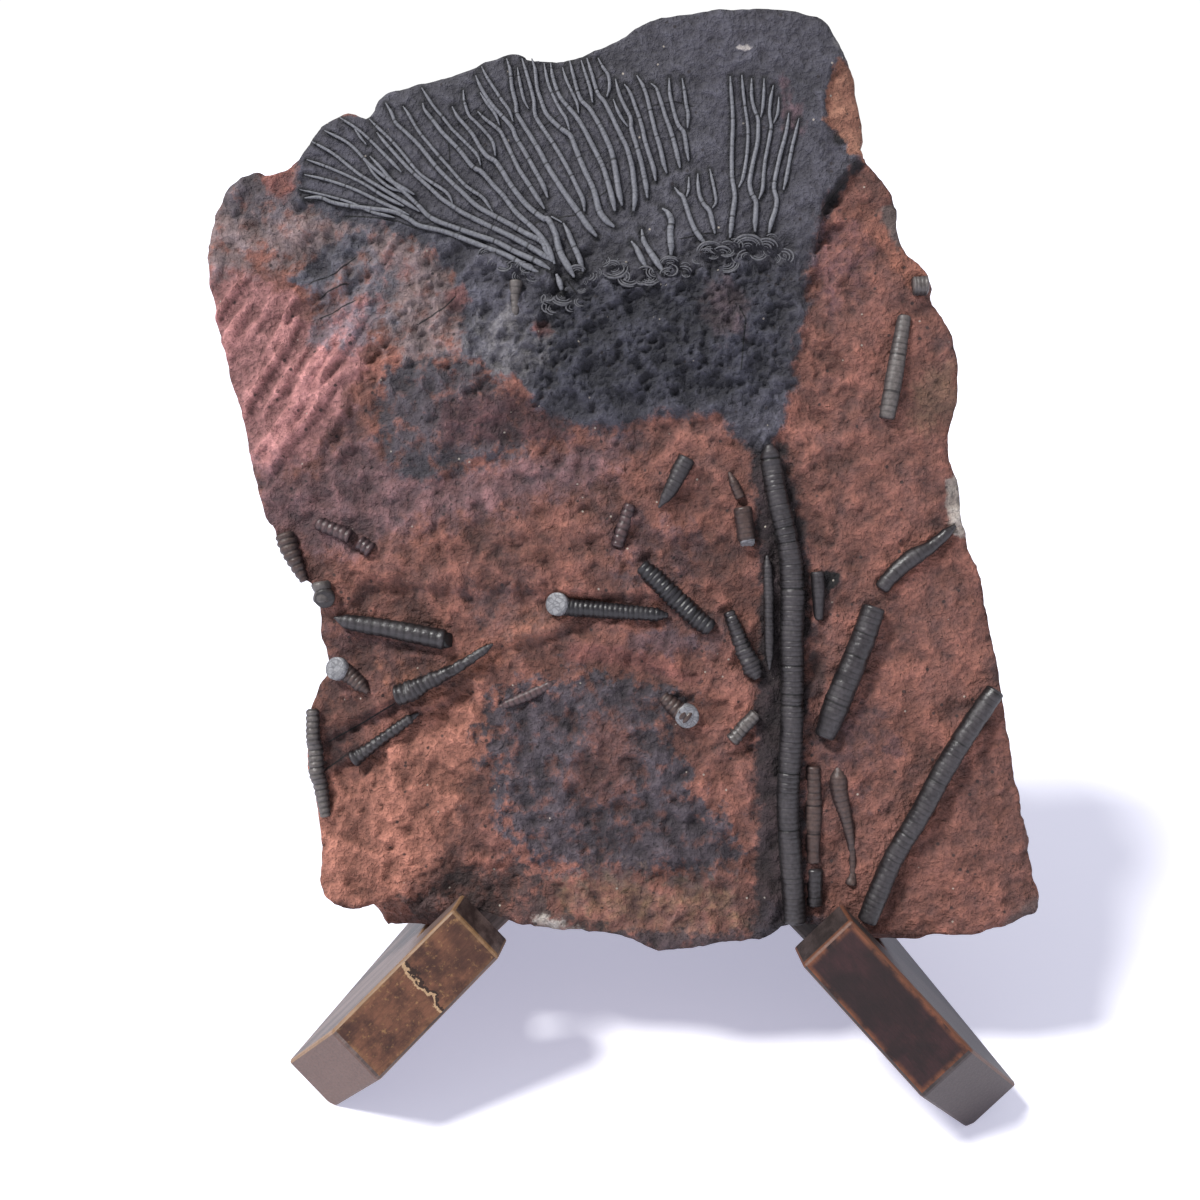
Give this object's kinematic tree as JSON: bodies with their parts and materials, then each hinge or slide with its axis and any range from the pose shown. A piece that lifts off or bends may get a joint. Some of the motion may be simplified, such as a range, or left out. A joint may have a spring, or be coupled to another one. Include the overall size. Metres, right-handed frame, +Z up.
{
  "type": "crinoid fossil",
  "caption": "Sea lily fossil plate: a flat slab of reddish rock with a fanned crown and scattered ribbed stems in its face, leaning back on a crossed wooden stand.",
  "frame": {"origin": "on the ground, under the middle of the whole object's bounding box", "axes": "+Z up, +X to the right as the fossil's face is seen, -Y out of the front towards the viewer"},
  "size_m": [0.1928, 0.1464, 0.2369],
  "materials": {
    "rock": "matte",
    "fossil": "matte",
    "arm": "matte",
    "wood": "satin"
  },
  "bodies": {
    "root": {"rock_slab": "rock", "banded_stem": "fossil", "beaded_stem": "fossil", "blocky_stem_end": "fossil", "curved_stem": "fossil", "edge_stub_stem": "fossil", "faint_stem_by_crown": "fossil", "faint_stem_lower_left": "fossil", "faint_stem_upper": "fossil", "left_edge_stem_lower": "fossil", "left_edge_stem_upper": "fossil", "long_diagonal_stem": "fossil", "main_stem": "fossil", "parallel_stem_lower": "fossil", "parallel_stem_upper": "fossil", "pointed_stem": "fossil", "ribbed_diagonal_stem": "fossil", "ribbed_stem_centre": "fossil", "ribbed_stem_left": "fossil", "ribbed_stub_left": "fossil", "ring_ended_stem": "fossil", "root_like_stem": "fossil", "short_stem_by_neck": "fossil", "short_stem_centre": "fossil", "tapering_stem": "fossil", "thick_stem": "fossil", "thin_stem_by_neck": "fossil", "thin_stem_left_of_main": "fossil", "thin_stem_right_of_main": "fossil", "upper_right_stem": "fossil", "white_ended_stem_centre": "fossil", "white_ended_stem_left": "fossil", "arm_01": "arm", "arm_02": "arm", "arm_03": "arm", "arm_04": "arm", "arm_05": "arm", "arm_06": "arm", "arm_07": "arm", "arm_08": "arm", "arm_09": "arm", "arm_10": "arm", "arm_11": "arm", "arm_12": "arm", "arm_13": "arm", "arm_14": "arm", "arm_15": "arm", "arm_16": "arm", "arm_17": "arm", "arm_18": "arm", "arm_19": "arm", "arm_20": "arm", "arm_21": "arm", "arm_22": "arm", "arm_23": "arm", "arm_24": "arm", "arm_25": "arm", "arm_26": "arm", "stand_board_left": "wood", "stand_board_right": "wood"}
  },
  "joints": []
}
